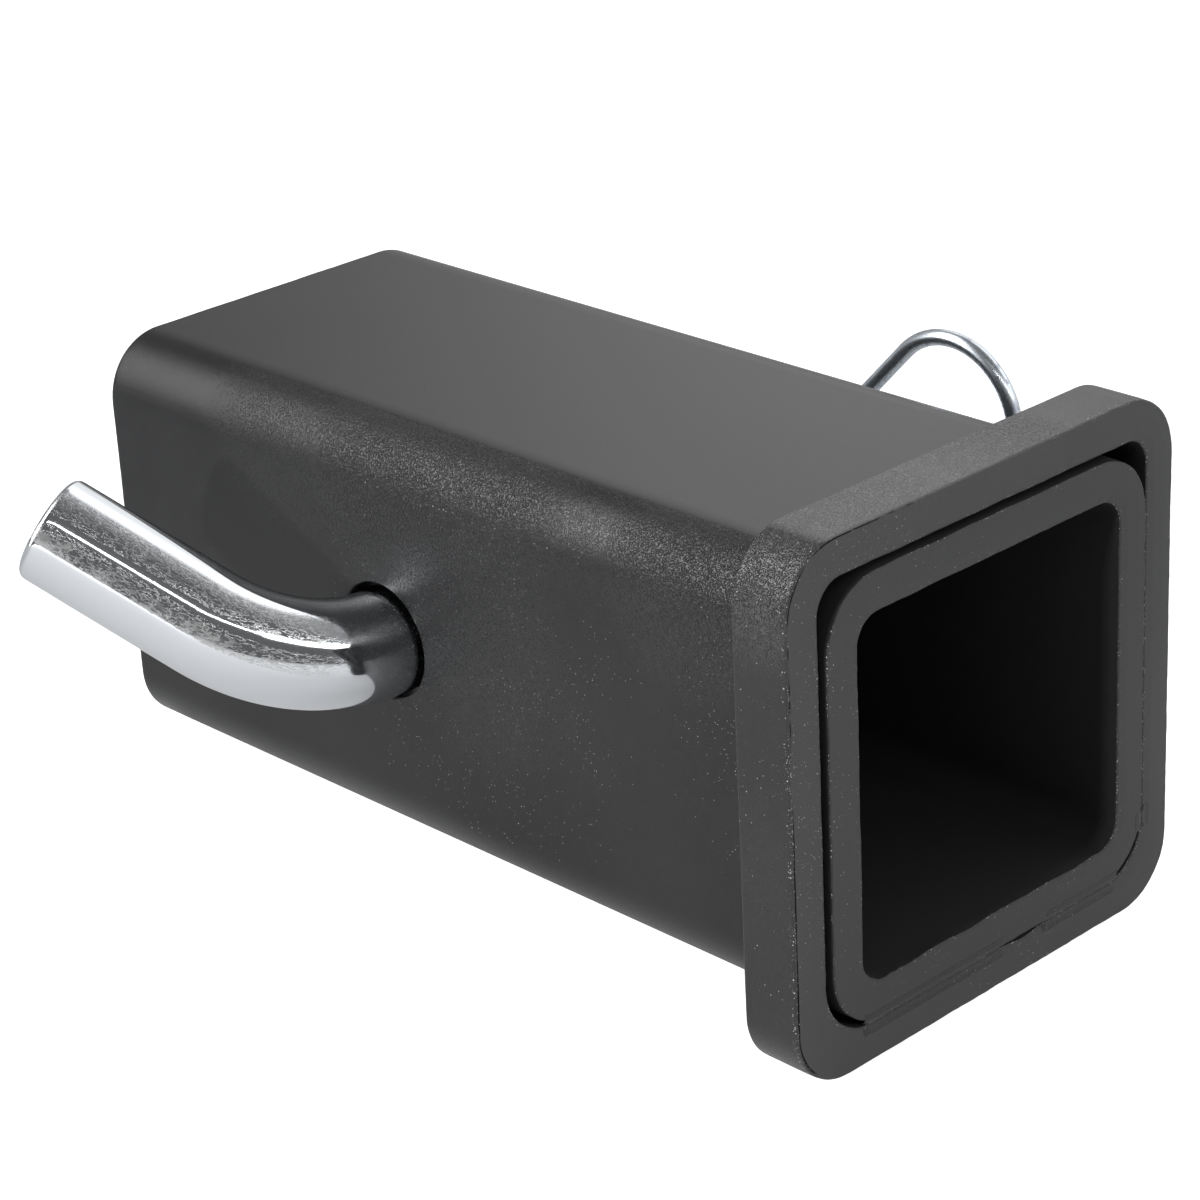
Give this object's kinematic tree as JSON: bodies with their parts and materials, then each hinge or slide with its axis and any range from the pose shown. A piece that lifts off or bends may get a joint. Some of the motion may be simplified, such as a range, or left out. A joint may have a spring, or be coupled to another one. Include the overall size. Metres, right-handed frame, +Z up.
{
  "type": "hitch reducer sleeve",
  "caption": "Square sleeve that narrows a tow receiver: welded stop collar, square bore, bent locking pin through both side walls and a spring hairpin clip.",
  "frame": {"origin": "on the collar's underside, halfway through its thickness, straight below the tube's axis", "axes": "+X out of the mouth along the tube, +Z up, -Y towards the pin's bent handle"},
  "size_m": [0.1446, 0.1361, 0.0762],
  "materials": {
    "powder_coat": "satin black powder coat with a fine orange peel",
    "pin_chrome": "bright plating, lightly scratched and pitted",
    "clip_zinc": "bright zinc on drawn spring wire"
  },
  "bodies": {
    "sleeve": {"sleeve_tube": "powder_coat", "collar": "powder_coat", "collar_weld": "powder_coat"},
    "pin": {"hitch_pin": "pin_chrome"},
    "clip": {"hairpin_clip": "clip_zinc"}
  },
  "joints": [
    {"name": "pin_slide", "type": "slide", "parent": "sleeve", "child": "pin", "axis": [0, -1, 0], "range_m": [0, 0.0213]},
    {"name": "clip_pull", "type": "slide", "parent": "pin", "child": "clip", "axis": [0.6884, 0, 0.7254], "range_m": [0, 0.03], "deforming": ["hairpin_clip"]}
  ]
}
